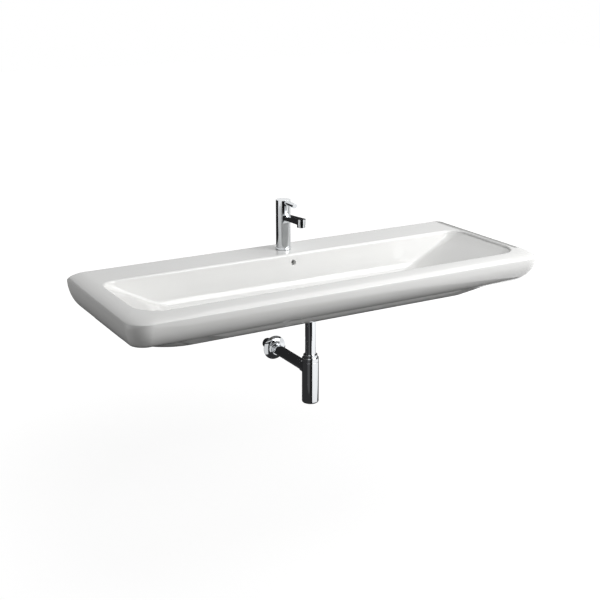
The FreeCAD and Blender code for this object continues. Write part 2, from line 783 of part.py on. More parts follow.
def tap_body():
    """The casting: shank, barrel and spout, bored for the cartridge, the water and the hoses."""
    body = new_body("tap_body", TAP)
    shank_end = DECK_UNDER + s.shank_gap
    spin(body, "barrel", [(ZERO, shank_end), (s.shank_radius, shank_end), (s.shank_radius, PORT_LEVEL),
                          (s.tap_radius, PORT_LEVEL), (s.tap_radius, s.body_top), (ZERO, s.body_top)])
    sketch = new_sketch(body, "spout_outline", "YZ_Plane")
    inner = s.tap_radius / 2
    blend_start = s.tap_radius + s.spout_blend_length
    draw(sketch, [(-inner, s.body_top), (-s.tap_radius, s.body_top), (-s.spout_reach, s.spout_tip_top),
                  (-s.spout_reach, s.spout_tip_under), (s.spout_width - s.spout_reach, s.spout_tip_under),
                  (-blend_start, s.spout_root_under, s.spout_blend_radius, 1),
                  (-s.tap_radius, s.spout_root_under - s.spout_blend_drop),
                  (-inner, s.spout_root_under - s.spout_blend_drop)])
    spout = body.newObject("PartDesign::Pad", "spout")
    spout.Profile = sketch
    spout.SideType = "Symmetric"
    bind(spout, "Length", s.spout_width)
    half, reach = s.spout_width.number / 2, s.spout_reach.number

    def tip_corner(edge):
        return (abs(edge.tangentAt(edge.FirstParameter).z) > 0.9
                and all(abs(abs(v.X) - half) < 1e-3 and abs(v.Y + reach) < 1e-3 for v in edge.Vertexes))

    round_edges(body, "spout_tip", s.spout_tip_round, tip_corner)
    cylinder(body, "cartridge_bore", s.cartridge_bore, (ZERO, ZERO, s.cartridge_seat),
             s.body_top - s.cartridge_seat + s.overrun)
    outlet = s.spout_width / 2 - s.spout_reach
    seal_top = s.spout_tip_under + s.aerator_thread + s.aerator_seal_height
    cylinder(body, "aerator_recess", s.aerator_thread_radius + s.running_gap,
             (ZERO, outlet, s.spout_tip_under - s.overrun), seal_top - s.spout_tip_under + s.overrun)
    cylinder(body, "waterway", s.waterway_radius, (ZERO, -(s.cartridge_bore / 2), s.waterway_height),
             -outlet - s.cartridge_bore / 2, turn=TO_ROOM)
    cylinder(body, "shank_bore", s.shank_bore, (ZERO, ZERO, shank_end - s.overrun),
             PORT_LEVEL - shank_end + s.overrun)
    for side, name in ((-1, "left"), (1, "right")):
        x = s.port_spacing / 2 * side
        cylinder(body, f"{name}_port", s.port_radius, (x, -s.port_offset, PORT_LEVEL), s.port_depth)
        cylinder(body, f"{name}_feed", s.feed_radius, (x, -s.port_offset, PORT_LEVEL),
                 s.cartridge_seat - PORT_LEVEL + s.running_gap)
    cylinder(body, "stud_hole", s.tap_stud_radius, (ZERO, s.tap_stud_offset, PORT_LEVEL), s.tap_stud_hole)
    return body


def cartridge():
    outer = s.cartridge_bore - s.play
    waist = outer - s.cartridge_wall_gap
    seat, top = s.cartridge_seat, s.body_top - s.cartridge_nut_height - s.cartridge_nut_recess
    bore = s.carrier_radius + s.running_gap
    floor = s.pivot_height - s.carrier_depth - s.cartridge_floor_gap
    return turned("cartridge", TAP, [
        (ZERO, seat), (outer, seat), (outer, seat + s.foot_height), (waist, seat + s.foot_height),
        (waist, top - s.cartridge_collar), (outer, top - s.cartridge_collar), (outer, top),
        (bore, top), (bore, floor), (ZERO, floor)])


def cartridge_nut():
    top = s.body_top - s.cartridge_nut_recess
    return ring("cartridge_nut", TAP, s.nut_opening, s.cartridge_bore - s.play,
                top - s.cartridge_nut_height, top)


def cartridge_cap():
    """A dome whose centre is the lever's pivot, open at the top for the stem."""
    pivot, outer, inner = s.pivot_height, s.cap_sphere, s.cap_sphere - s.cap_wall
    return turned("cartridge_cap", TAP, [
        (s.cap_seat_radius, s.body_top), (s.cap_radius, s.body_top),
        (s.cap_radius, pivot + leg(outer, s.cap_radius), outer, -1),
        (s.cap_opening, pivot + leg(outer, s.cap_opening)),
        (s.cap_opening, pivot + leg(inner, s.cap_opening), inner, 1),
        (s.cap_seat_radius, pivot + leg(inner, s.cap_seat_radius))])


def cartridge_carrier():
    """The part of the cartridge that turns with the lever and holds its pivot pin."""
    top = s.body_top - s.cartridge_nut_height - s.cartridge_nut_recess - s.carrier_gap
    bottom = s.pivot_height - s.carrier_depth
    body = turned("cartridge_carrier", TAP, [
        (ZERO, bottom), (s.carrier_radius, bottom), (s.carrier_radius, top), (ZERO, top)])
    half = s.stem_width / 2 + s.stem_side_gap
    low = s.pivot_height - s.stem_foot - s.stem_slot_gap
    block(body, "stem_slot", (-half, -(s.carrier_slot / 2), low),
          (half, s.carrier_slot / 2, top + s.overrun))
    cylinder(body, "pin_hole", s.stem_pin_radius, (-s.carrier_radius - s.overrun, ZERO, s.pivot_height),
             (s.carrier_radius + s.overrun) * 2, turn=TO_RIGHT)
    return body


def stem_pin():
    reach = s.carrier_radius - s.carrier_gap
    return turned("stem_pin", (ZERO, -s.tap_setback, s.rim_height + s.pivot_height), [
        (ZERO, -reach), (s.stem_pin_radius, -reach), (s.stem_pin_radius, reach), (ZERO, reach)], TO_RIGHT)


def core_bottom():
    """Height of the lever head's core, just clear of the dome."""
    return s.pivot_height + s.cap_sphere + s.head_core_gap


def cartridge_stem():
    body = new_body("cartridge_stem", TAP)
    half, thick = s.stem_width / 2, s.stem_thickness / 2
    grip = core_bottom()
    block(body, "stem_block", (-half, -thick, s.pivot_height - s.stem_foot),
          (half, thick, s.pivot_height + s.stem_shoulder), cut=False)
    cylinder(body, "stem_neck", s.stem_neck_radius, (ZERO, ZERO, s.pivot_height),
             grip - s.pivot_height + s.stem_neck_radius, cut=False)
    block(body, "stem_grip", (-half, -half, grip), (half, half, grip + s.stem_grip), cut=False)
    cylinder(body, "stem_pivot_hole", s.stem_pin_radius + s.running_gap,
             (-half - s.overrun, ZERO, s.pivot_height), (half + s.overrun) * 2, turn=TO_RIGHT)
    return body


def lever_head():
    """A cup over the dome, with a core that grips the stem."""
    sphere = s.cap_sphere + s.head_gap
    wall = s.tap_radius - s.head_wall
    roof = s.tap_height - s.head_roof
    body = turned("lever_head", TAP, [
        (ZERO, core_bottom()), (s.head_core_radius, core_bottom()), (s.head_core_radius, roof),
        (wall, roof), (wall, s.pivot_height + leg(sphere, wall), sphere, 1),
        (s.tap_radius, s.pivot_height + leg(sphere, s.tap_radius)),
        (s.tap_radius, s.tap_height - s.head_edge, s.head_edge, -1),
        (s.tap_radius - s.head_edge, s.tap_height), (ZERO, s.tap_height)])
    half = s.stem_width / 2 + s.running_gap
    block(body, "stem_socket", (-half, -half, core_bottom() - s.overrun),
          (half, half, core_bottom() + s.stem_grip))
    centre = s.tap_height - s.lever_radius
    cylinder(body, "lever_socket", s.lever_spigot_radius, (ZERO, s.lever_spigot - s.tap_radius, centre),
             s.overrun, turn=TO_ROOM)
    grub = core_bottom() + s.grub_rise
    cylinder(body, "grub_hole", s.grub_radius, (ZERO, s.running_gap, grub), s.tap_radius, turn=TO_WALL)
    cylinder(body, "plug_hole", s.plug_radius,
             (ZERO, s.tap_radius - s.plug_inset - s.plug_length, grub), s.overrun, turn=TO_WALL)
    return body


def lever_pin():
    """The round lever: its root is hollowed to sit on the head, and a spigot screws in."""
    body = new_body("lever_pin", TAP)
    centre = s.tap_height - s.lever_radius
    root_end = s.tap_radius / 2
    spin(body, "lever_bar", [
        (-root_end, ZERO), (-root_end, s.lever_radius), (s.lever_edge - s.lever_reach, s.lever_radius),
        (-s.lever_reach, s.lever_radius - s.lever_edge), (-s.lever_reach, ZERO)],
         "YZ_Plane", "H_Axis", (ZERO, centre, ZERO))
    cylinder(body, "saddle", s.tap_radius, (ZERO, ZERO, centre - s.lever_radius - s.overrun),
             (s.lever_radius + s.overrun) * 2)
    cylinder(body, "spigot", s.lever_spigot_radius, (ZERO, s.lever_spigot - s.tap_radius, centre),
             s.lever_spigot + s.lever_radius, turn=TO_ROOM, cut=False)
    return body


def grub_screw():
    start = s.stem_width / 2 + s.running_gap
    return turned("grub_screw", (ZERO, -s.tap_setback, s.rim_height + core_bottom() + s.grub_rise), [
        (ZERO, start), (s.grub_radius, start), (s.grub_radius, start + s.grub_length),
        (ZERO, start + s.grub_length)], TO_WALL)


def handle_plug():
    end = s.tap_radius - s.plug_inset
    return turned("handle_plug", (ZERO, -s.tap_setback, s.rim_height + core_bottom() + s.grub_rise), [
        (ZERO, end - s.plug_length), (s.plug_radius, end - s.plug_length), (s.plug_radius, end),
        (ZERO, end)], TO_WALL)


def spout_outlet():
    return (ZERO, s.spout_width / 2 - s.tap_setback - s.spout_reach, s.rim_height)


def aerator_housing():
    seat = s.spout_tip_under
    low = seat - s.aerator_drop
    lip = s.aerator_bore - s.aerator_lip_width
    return turned("aerator_housing", spout_outlet(), [
        (lip, low), (s.aerator_radius - s.aerator_edge, low), (s.aerator_radius, low + s.aerator_edge),
        (s.aerator_radius, seat), (s.aerator_thread_radius, seat),
        (s.aerator_thread_radius, seat + s.aerator_thread), (s.aerator_bore, seat + s.aerator_thread),
        (s.aerator_bore, low + s.aerator_lip), (lip, low + s.aerator_lip)])


def aerator_insert():
    """A disc of flow holes; its six holes stand for the finer mesh."""
    low = s.spout_tip_under - s.aerator_drop + s.aerator_lip
    radius = s.aerator_bore - s.running_gap
    body = turned("aerator_insert", spout_outlet(), [
        (ZERO, low), (radius, low), (radius, low + s.insert_height), (ZERO, low + s.insert_height)])
    for i in range(FLOW_HOLES):
        turn = i * math.tau / FLOW_HOLES
        x, y = s.flow_hole_circle * math.cos(turn), s.flow_hole_circle * math.sin(turn)
        cylinder(body, f"flow_hole_{i}", s.flow_hole_radius, (x, y, low - s.overrun),
                 s.insert_height + s.overrun * 2)
    return body


def aerator_seal():
    low = s.spout_tip_under + s.aerator_thread
    return ring("aerator_seal", spout_outlet(), s.aerator_thread_radius - s.aerator_seal_width,
                s.aerator_thread_radius, low, low + s.aerator_seal_height)


def fixing_stud():
    top = PORT_LEVEL + s.tap_stud_hole
    return turned("fixing_stud", (ZERO, s.tap_stud_offset - s.tap_setback, s.rim_height), [
        (ZERO, top - s.tap_stud_length), (s.tap_stud_radius, top - s.tap_stud_length),
        (s.tap_stud_radius, top), (ZERO, top)])


def horseshoe(label, bottom, top):
    """A disc under the deck, open at the front where the hoses pass."""
    body = turned(label, TAP, [(ZERO, bottom), (s.horseshoe_radius, bottom), (s.horseshoe_radius, top),
                               (ZERO, top)])
    half = s.horseshoe_gap / 2
    block(body, label + "_gap", (-half, -s.horseshoe_radius - s.overrun, bottom - s.overrun),
          (half, s.horseshoe_gap_end, top + s.overrun))
    cylinder(body, label + "_hole", s.tap_stud_radius + s.play,
             (ZERO, s.tap_stud_offset, bottom - s.overrun), top - bottom + s.overrun * 2)
    return body


def horseshoe_gasket():
    return horseshoe("horseshoe_gasket", DECK_UNDER - s.horseshoe_gasket_height, DECK_UNDER)


def horseshoe_plate():
    top = DECK_UNDER - s.horseshoe_gasket_height
    return horseshoe("horseshoe_plate", top - s.horseshoe_plate_height, top)


def tap_fixing_nut():
    top = DECK_UNDER - s.horseshoe_gasket_height - s.horseshoe_plate_height
    return hexagon_nut("tap_fixing_nut", (ZERO, s.tap_stud_offset - s.tap_setback, s.rim_height),
                       s.tap_nut_across, s.tap_stud_radius, top - s.tap_nut_height, top)


def flange_gasket():
    return ring("flange_gasket", DRAIN, s.drain_radius, s.flange_radius, RECESS, FLANGE_LOW)


def crossbar_top():
    return TAIL_END + s.crossbar_rise + s.crossbar_height


def waste_body():
    """Flange, throat and threaded tail, slotted for the overflow, with a bar for the click cartridge."""
    edge = s.flange_edge
    body = turned("waste_body", DRAIN, [
        (s.tail_bore, TAIL_END), (s.tail_radius, TAIL_END), (s.tail_radius, FLANGE_LOW),
        (s.flange_radius, FLANGE_LOW), (s.flange_radius, FLANGE_TOP - edge, edge, -1),
        (s.flange_radius - edge, FLANGE_TOP), (s.throat_radius, FLANGE_TOP),
        (s.tail_bore, FLANGE_TOP - s.throat_depth)])
    reach = (s.tail_bore + s.tail_radius) / 2
    half = s.crossbar_width / 2
    block(body, "crossbar", (-reach, -half, crossbar_top() - s.crossbar_height),
          (reach, half, crossbar_top()), cut=False)
    cylinder(body, "screw_hole", s.click_screw_radius, (ZERO, ZERO, TAIL_END - s.overrun),
             s.overrun * 2)
    wide = s.slot_width / 2
    block(body, "overflow_slots", (-s.drain_radius, -wide, DUCT_LOW), (s.drain_radius, wide, DUCT_HIGH))
    return body


def click_cartridge():
    """The latch that holds the plug up or down: closed, with the plug's stem sliding in its top."""
    low, top = crossbar_top(), crossbar_top() + s.click_height
    bore = s.plug_stem_radius + s.running_gap
    return turned("click_cartridge", DRAIN, [
        (ZERO, low - s.crossbar_height), (s.click_screw_radius, low - s.crossbar_height),
        (s.click_screw_radius, low), (s.click_radius, low), (s.click_radius, top), (bore, top),
        (bore, top - s.click_bore_depth), (ZERO, top - s.click_bore_depth)])


def plug_underside():
    return FLANGE_TOP + s.plug_seat_gap + s.plug_seal_height + s.plug_travel


def waste_plug():
    low, socket = plug_underside(), s.plug_socket
    rim = low + s.plug_disc_edge
    return turned("waste_plug", DRAIN, [
        (ZERO, low + socket), (s.plug_stem_radius, low + socket), (s.plug_stem_radius, low),
        (s.plug_disc_radius, low), (s.plug_disc_radius, rim, s.plug_dome_radius, -1),
        (ZERO, rim + s.plug_dome_radius - leg(s.plug_dome_radius, s.plug_disc_radius))])


def plug_stem():
    top = plug_underside() + s.plug_socket
    return turned("plug_stem", DRAIN, [
        (ZERO, top - s.plug_stem_length), (s.plug_stem_radius, top - s.plug_stem_length),
        (s.plug_stem_radius, top), (ZERO, top)])


def plug_seal():
    top = plug_underside()
    return ring("plug_seal", DRAIN, s.throat_radius + s.plug_seat_gap,
                s.throat_radius + s.plug_seat_gap + s.plug_seal_width, top - s.plug_seal_height, top)


def boss_gasket():
    return ring("boss_gasket", DRAIN, s.tail_radius + s.play, s.boss_gasket_radius,
                BOSS_BOTTOM - s.boss_gasket_height, BOSS_BOTTOM)


def waste_backnut():
    top = BOSS_BOTTOM - s.boss_gasket_height
    return hexagon_nut("waste_backnut", DRAIN, s.backnut_across, s.tail_radius,
                       top - s.backnut_height, top)


def union_seal():
    return ring("union_seal", DRAIN, s.tail_radius - s.union_seal_width, s.tail_radius - s.play,
                TAIL_END - s.union_seal_height, TAIL_END)


def waste_union_nut():
    lip_top = TAIL_END - s.union_seal_height - s.pipe_collar
    low = lip_top - s.union_lip
    bore, edge = s.pipe_radius + s.tube_play, s.nut_edge
    return turned("waste_union_nut", DRAIN, [
        (bore, low), (s.union_nut_radius - edge, low), (s.union_nut_radius, low + edge),
        (s.union_nut_radius, low + s.union_nut_height - edge),
        (s.union_nut_radius - edge, low + s.union_nut_height), (s.tail_radius, low + s.union_nut_height),
        (s.tail_radius, lip_top), (bore, lip_top)])


def down_pipe():
    top, low = TAIL_END - s.union_seal_height, OUTLET - s.dip_drop
    bore = s.pipe_radius - s.pipe_wall
    return turned("down_pipe", DRAIN, [
        (bore, low), (s.pipe_radius, low), (s.pipe_radius, top - s.pipe_collar),
        (s.pipe_collar_radius, top - s.pipe_collar), (s.pipe_collar_radius, top), (bore, top)])


def trap_slip_nut():
    top, low = SLIP_NUT_TOP, BOTTLE_TOP
    bore, edge = s.pipe_radius + s.tube_play, s.nut_edge
    return turned("trap_slip_nut", DRAIN, [
        (s.neck_radius, low), (s.slip_nut_radius, low), (s.slip_nut_radius, top - edge),
        (s.slip_nut_radius - edge, top), (bore, top), (bore, top - s.slip_nut_lip),
        (s.neck_radius, top - s.slip_nut_lip)])


def slip_seal():
    top = SLIP_NUT_TOP - s.slip_nut_lip
    return ring("slip_seal", DRAIN, s.pipe_radius, s.neck_radius - s.play, top - s.slip_seal_height, top)


def trap_body():
    """The upper half of the bottle, with the neck for the slip nut and the socket for the outlet."""
    top, seam = BOTTLE_TOP, SEAM
    neck_top = SLIP_NUT_TOP - s.slip_nut_lip - s.slip_seal_height
    bore = s.pipe_radius + s.tube_play
    wall = s.bottle_radius - s.bottle_wall
    thread = wall - s.play
    line = top - s.bottle_line_drop
    body = turned("trap_body", DRAIN, [
        (bore, neck_top), (s.neck_radius, neck_top), (s.neck_radius, top),
        (s.bottle_radius - s.bottle_edge, top), (s.bottle_radius, top - s.bottle_edge),
        (s.bottle_radius, line), (s.bottle_radius - s.bottle_line_depth, line),
        (s.bottle_radius - s.bottle_line_depth, line - s.bottle_line_width),
        (s.bottle_radius, line - s.bottle_line_width), (s.bottle_radius, seam), (thread, seam),
        (thread, seam - s.cup_thread), (thread - s.cup_thread_wall, seam - s.cup_thread),
        (thread - s.cup_thread_wall, seam), (wall, seam + s.cup_thread_wall), (wall, top - s.bottle_roof),
        (bore, top - s.bottle_roof)])
    height = OUTLET
    mouth = s.bottle_radius + s.socket_length
    cylinder(body, "outlet_socket", s.socket_radius, (ZERO, s.socket_stop, height),
             mouth - s.socket_stop, turn=TO_WALL, cut=False)
    cylinder(body, "socket_bore", s.pipe_radius + s.play, (ZERO, s.socket_stop + s.socket_lip, height),
             s.overrun + mouth - s.socket_stop, turn=TO_WALL)
    cylinder(body, "outlet_bore", s.pipe_radius - s.pipe_wall,
             (ZERO, s.pipe_radius + s.running_gap, height), s.overrun, turn=TO_WALL)
    cylinder(body, "seal_groove", s.pipe_radius + s.socket_seal_height,
             (ZERO, mouth - s.socket_seal_offset - s.socket_seal_width, height), s.socket_seal_width,
             turn=TO_WALL)
    return body


def trap_cup():
    """The lower half, which unscrews for cleaning."""
    low, seam = OUTLET - s.cup_drop, SEAM
    wall, round_out = s.bottle_radius - s.bottle_wall, s.cup_round
    seal_radius = wall + s.cup_seal_width
    return turned("trap_cup", DRAIN, [
        (ZERO, low), (s.bottle_radius - round_out, low, round_out, -1), (s.bottle_radius, low + round_out),
        (s.bottle_radius, seam), (seal_radius, seam), (seal_radius, seam - s.cup_seal_height),
        (wall, seam - s.cup_seal_height), (wall, low + s.cup_floor), (ZERO, low + s.cup_floor)])


def cup_seal():
    wall, seam = s.bottle_radius - s.bottle_wall, SEAM
    return ring("cup_seal", DRAIN, wall, wall + s.cup_seal_width, seam - s.cup_seal_height, seam)


def outlet():
    return (ZERO, -s.drain_setback, OUTLET)


def wall_tube():
    """The outlet tube. A shallow groove marks how far it may go into the wall's own pipe."""
    start = s.socket_stop + s.socket_lip
    bore = s.pipe_radius - s.pipe_wall
    groove = s.pipe_radius - s.tube_groove_depth
    wall = s.drain_setback
    first = wall + s.tube_groove_start
    return turned("wall_tube", outlet(), [
        (bore, start), (s.pipe_radius, start), (s.pipe_radius, first), (groove, first),
        (groove, first + s.tube_groove_width), (s.pipe_radius, first + s.tube_groove_width),
        (s.pipe_radius, wall + s.wall_tube_reach), (bore, wall + s.wall_tube_reach)], TO_WALL)


def outlet_seal():
    end = s.bottle_radius + s.socket_length - s.socket_seal_offset
    return ring("outlet_seal", outlet(), s.pipe_radius, s.pipe_radius + s.socket_seal_height,
                end - s.socket_seal_width, end, TO_WALL)


def rosette():
    """The domed cover plate at the wall, pressed from sheet."""
    bore, sheet_wall = s.pipe_radius + s.tube_play, s.rosette_wall
    return turned("rosette", (ZERO, ZERO, OUTLET), [
        (s.rosette_radius - sheet_wall, ZERO), (s.rosette_radius, ZERO),
        (s.rosette_radius, s.rosette_rim, s.rosette_arc, -1), (s.rosette_dome_radius, s.rosette_depth),
        (s.rosette_neck, s.rosette_neck_start), (s.rosette_neck, s.rosette_neck_end),
        (bore, s.rosette_neck_end), (bore, s.rosette_neck_start - sheet_wall),
        (s.rosette_dome_radius, s.rosette_inner_depth, s.rosette_arc, 1),
        (s.rosette_radius - sheet_wall, s.rosette_inner_rim)], TO_ROOM)


PIECES = [
    basin_body, hanger_bolts, fixing_collars, fixing_washers, fixing_nuts,
    base_gasket, base_ring, tap_body, cartridge, cartridge_nut, cartridge_cap, cartridge_carrier,
    stem_pin, cartridge_stem, lever_head, lever_pin, grub_screw, handle_plug,
    aerator_housing, aerator_insert, aerator_seal,
    fixing_stud, horseshoe_gasket, horseshoe_plate, tap_fixing_nut,
    flange_gasket, waste_body, click_cartridge, waste_plug, plug_stem, plug_seal, boss_gasket,
    waste_backnut, union_seal, waste_union_nut, down_pipe,
    trap_slip_nut, slip_seal, trap_body, trap_cup, cup_seal, wall_tube, outlet_seal, rosette,
]

nodes = [make() for make in PIECES]
doc.recompute()
for item in doc.Objects:
    if "Invalid" in item.State or "Error" in item.State:
        raise RuntimeError(f"{item.Label} failed: {item.State}")
for node in nodes:
    if node.Shape.isNull() or not node.Shape.isValid():
        raise RuntimeError(f"{node.Label} has no valid shape")
os.makedirs("parts", exist_ok=True)
for node in nodes:
    node.Shape.exportStep(f"parts/{node.Label}.step")
print(len(nodes), "pieces written")
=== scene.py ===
import math

import bmesh
import bpy
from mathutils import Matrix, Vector


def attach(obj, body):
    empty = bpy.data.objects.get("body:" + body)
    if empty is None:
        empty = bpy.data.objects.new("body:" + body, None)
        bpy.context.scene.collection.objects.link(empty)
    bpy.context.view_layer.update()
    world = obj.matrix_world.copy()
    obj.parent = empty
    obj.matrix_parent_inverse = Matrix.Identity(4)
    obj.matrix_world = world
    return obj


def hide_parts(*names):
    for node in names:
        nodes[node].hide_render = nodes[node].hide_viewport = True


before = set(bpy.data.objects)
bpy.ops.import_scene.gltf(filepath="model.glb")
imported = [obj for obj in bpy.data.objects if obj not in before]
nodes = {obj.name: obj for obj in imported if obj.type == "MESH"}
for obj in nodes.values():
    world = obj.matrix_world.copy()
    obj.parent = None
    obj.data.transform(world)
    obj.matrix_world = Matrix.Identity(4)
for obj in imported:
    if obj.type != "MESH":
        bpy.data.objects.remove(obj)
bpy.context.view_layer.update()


# View from the front left, looking down on the deck at some 17 degrees.
# The lens is long, so the two ends of the basin keep nearly the same scale.
CAMERA_PLACE = (-1.536, -2.817, 0.900)
CAMERA_YAW = 30.03
CAMERA_DIP = 17.51
LENS_MM = 65.4
SENSOR_MM = 36

camera = bpy.data.objects.new("camera", bpy.data.cameras.new("camera"))
bpy.context.collection.objects.link(camera)
camera.data.lens = LENS_MM
camera.data.sensor_width = SENSOR_MM
camera.location = CAMERA_PLACE
camera.rotation_euler = (math.radians(90 - CAMERA_DIP), 0, -math.radians(CAMERA_YAW))
bpy.context.scene.camera = camera
bpy.context.scene.view_settings.view_transform = "Standard"


# Studio floor: a broad sheet of matt white paper, some 0.85 m below the rim.
# It takes the soft shadow of the basin, and a glow makes it read white to the eye and in the
# chrome.
# The glow is painted light that rises with the distance from the basin, making up for the lamps'
# fall-off, so it is a little weaker under the basin than out in the open.
FLOOR_DROP = 0.785
FLOOR_REACH = 14.0
PAPER_GREY = "#959595"
WHITE = (1, 1, 1, 1)
SHADED_WHITE, OPEN_WHITE = 0.80, 1.0
OPEN_FROM, OPEN_FULL = 1.0, 2.4


def srgb(code):
    """A hex colour as the linear values that Blender works in."""
    parts = [int(code[i:i + 2], 16) / 255 for i in (1, 3, 5)]
    return [p / 12.92 if p <= 0.04045 else ((p + 0.055) / 1.055) ** 2.4 for p in parts] + [1.0]


def new_material(name):
    """An empty node material."""
    finish = bpy.data.materials.new(name)
    finish.use_nodes = True
    finish.node_tree.nodes.clear()
    return finish


def add_node(owner, kind, settings=None, values=None, links=()):
    """Adds a shader node. Links are (own input, other node, its output)."""
    node = owner.node_tree.nodes.new(kind)
    for name, value in (settings or {}).items():
        setattr(node, name, value)
    for name, value in (values or {}).items():
        node.inputs[name].default_value = value
    for own, other, output in links:
        owner.node_tree.links.new(other.outputs[output], node.inputs[own])
    return node


def seen_directly(owner):
    """1 for rays from the eye, and for those that metal or glass send on."""
    ray = add_node(owner, "ShaderNodeLightPath")
    first = add_node(owner, "ShaderNodeMath", {"operation": "MAXIMUM"},
                     links=[(0, ray, "Is Camera Ray"), (1, ray, "Is Glossy Ray")])
    return add_node(owner, "ShaderNodeMath", {"operation": "MAXIMUM"},
                    links=[(0, first, "Value"), (1, ray, "Is Transmission Ray")])


paper = new_material("matt studio paper")
paper_seen = seen_directly(paper)
paper_matt = add_node(paper, "ShaderNodeBsdfDiffuse", values={"Color": srgb(PAPER_GREY)})
paper_place = add_node(paper, "ShaderNodeTexCoord")
paper_off = add_node(paper, "ShaderNodeVectorMath", {"operation": "LENGTH"},
                     links=[(0, paper_place, "Object")])
# Painted light: the glow rises from SHADED_WHITE near the basin to OPEN_WHITE out in the open.
paper_painted_rise = add_node(paper, "ShaderNodeMapRange",
                      values={"From Min": OPEN_FROM, "From Max": OPEN_FULL,
                              "To Min": SHADED_WHITE, "To Max": OPEN_WHITE},
                      links=[("Value", paper_off, "Value")])
paper_level = add_node(paper, "ShaderNodeMath", {"operation": "MULTIPLY"},
                       links=[(0, paper_seen, "Value"), (1, paper_painted_rise, "Result")])
paper_glow = add_node(paper, "ShaderNodeEmission", values={"Color": WHITE},
                      links=[("Strength", paper_level, "Value")])
paper_sum = add_node(paper, "ShaderNodeAddShader",
                     links=[(0, paper_matt, "BSDF"), (1, paper_glow, "Emission")])
add_node(paper, "ShaderNodeOutputMaterial", links=[("Surface", paper_sum, "Shader")])


def stage_sheet(name, corners, finish):
    """A flat sheet of the studio, given by its corners."""
    sheet_mesh = bpy.data.meshes.new(name)
    sheet_mesh.from_pydata(corners, [], [tuple(range(len(corners)))])
    sheet_mesh.materials.append(finish)
    sheet_object = bpy.data.objects.new(name, sheet_mesh)
    bpy.context.collection.objects.link(sheet_object)
    return sheet_object


stage_sheet("floor", [(x * FLOOR_REACH, y * FLOOR_REACH, -FLOOR_DROP)
                      for x, y in ((-1, -1), (1, -1), (1, 1), (-1, 1))], paper)


# Studio surround: a white room, dim enough that the undersides keep their shade.
# One large soft box stands in front, to the right. A weak one hangs above, and another
# lights the left end from behind without showing in the chrome or the glaze.
ROOM_LIGHT, ROOM_WHITE = 0.21, 1.0
BASIN_MIDDLE = Vector((0, -0.25, 0.0))

room = bpy.data.worlds.new("white studio")
room.use_nodes = True
room.node_tree.nodes.clear()
bpy.context.scene.world = room
room_seen = seen_directly(room)
room_fill = add_node(room, "ShaderNodeBackground",
                     values={"Color": WHITE, "Strength": ROOM_LIGHT})
room_white = add_node(room, "ShaderNodeBackground",
                      values={"Color": WHITE, "Strength": ROOM_WHITE})
room_mix = add_node(room, "ShaderNodeMixShader",
                    links=[(0, room_seen, "Value"), (1, room_fill, "Background"),
                           (2, room_white, "Background")])
add_node(room, "ShaderNodeOutputWorld", links=[("Surface", room_mix, "Shader")])


def soft_box(name, place, width, height, watts):
    """A soft box that faces the middle of the basin."""
    lamp = bpy.data.lights.new(name, "AREA")
    lamp.shape, lamp.size, lamp.size_y = "RECTANGLE", width, height
    lamp.energy = watts
    box = bpy.data.objects.new(name, lamp)
    bpy.context.collection.objects.link(box)
    box.location = place
    box.rotation_euler = (box.location - BASIN_MIDDLE).to_track_quat("Z", "Y").to_euler()
    return box


soft_box("key_box", place=(1.95, -2.9, 1.45), width=2.4, height=2.4, watts=110)
soft_box("top_box", place=(1.2, -0.6, 2.3), width=2.4, height=1.6, watts=20)
left_box = soft_box("left_box", place=(-2.5, 0.9, 0.3), width=1.6, height=1.2, watts=13)
left_box.visible_glossy = False


# Studio flags: boards that glow in one flat tone and that only the polished metal and the glaze
# can see, so they are painted reflections and cast no shadow. Most are dark and paint the chrome's
# bands, in the way of a product studio's flags. One small white card beside the wall tube paints
# a bright reflection on it and on the rosette.
BLACK_PAINTED_REFLECTION = "#171718"
GREY_PAINTED_REFLECTION = "#2A2A2B"
WHITE_PAINTED_REFLECTION = "#F0F0F0"
BOARD_STEP = 0.002
# Floor boards: painted shade on the floor as only the chrome and the glaze see it, grey under and
# behind the basin, darkest in front (floor_dark) and a paler grey further left (floor_light).
FLOOR_PAINTED_SHADE = (
    ("floor_board", "#363637",
     ((-2.1, 2.0), (1.8, 2.0), (1.4, 0.1), (0.93, -0.5), (0.71, -0.93), (0.5, -1.09),
      (0.26, -1.19), (-0.06, -1.22), (-0.13, -2.25), (-2.1, -1.7))),
    ("floor_dark", "#101011",
     ((-0.06, -1.22), (-0.13, -2.25), (-0.90, -2.05), (-0.50, -1.20))),
    ("floor_light", "#585859",
     ((-0.70, -1.10), (-1.20, -1.82), (-2.0, -1.0), (-1.10, -0.65))),
)


def flag_board(name, corners, tone, one_sided=False):
    """A glowing board of one flat tone, a painted reflection: it shows in reflections alone, from
    one side or both.
    """
    painted_reflection = new_material(name + " cloth")
    # Painted reflection: the board glows in its own tone, and no lamp lights it.
    face = add_node(painted_reflection, "ShaderNodeEmission", values={"Color": srgb(tone), "Strength": 1.0})
    if one_sided:
        side = add_node(painted_reflection, "ShaderNodeNewGeometry")
        clear = add_node(painted_reflection, "ShaderNodeBsdfTransparent")
        face = add_node(painted_reflection, "ShaderNodeMixShader",
                        links=[(0, side, "Backfacing"), (1, face, "Emission"), (2, clear, "BSDF")])
    add_node(painted_reflection, "ShaderNodeOutputMaterial", links=[("Surface", face, 0)])
    board = stage_sheet(name, corners, painted_reflection)
    board.visible_camera = board.visible_diffuse = board.visible_shadow = False
    board.visible_transmission = board.visible_volume_scatter = False


def standing_flag(name, ends, low, high, tone, one_sided=False):
    """An upright board between two points on the floor plan."""
    (x0, y0), (x1, y1) = ends
    corners = [(x0, y0, low), (x1, y1, low), (x1, y1, high), (x0, y0, high)]
    flag_board(name, corners, tone, one_sided)


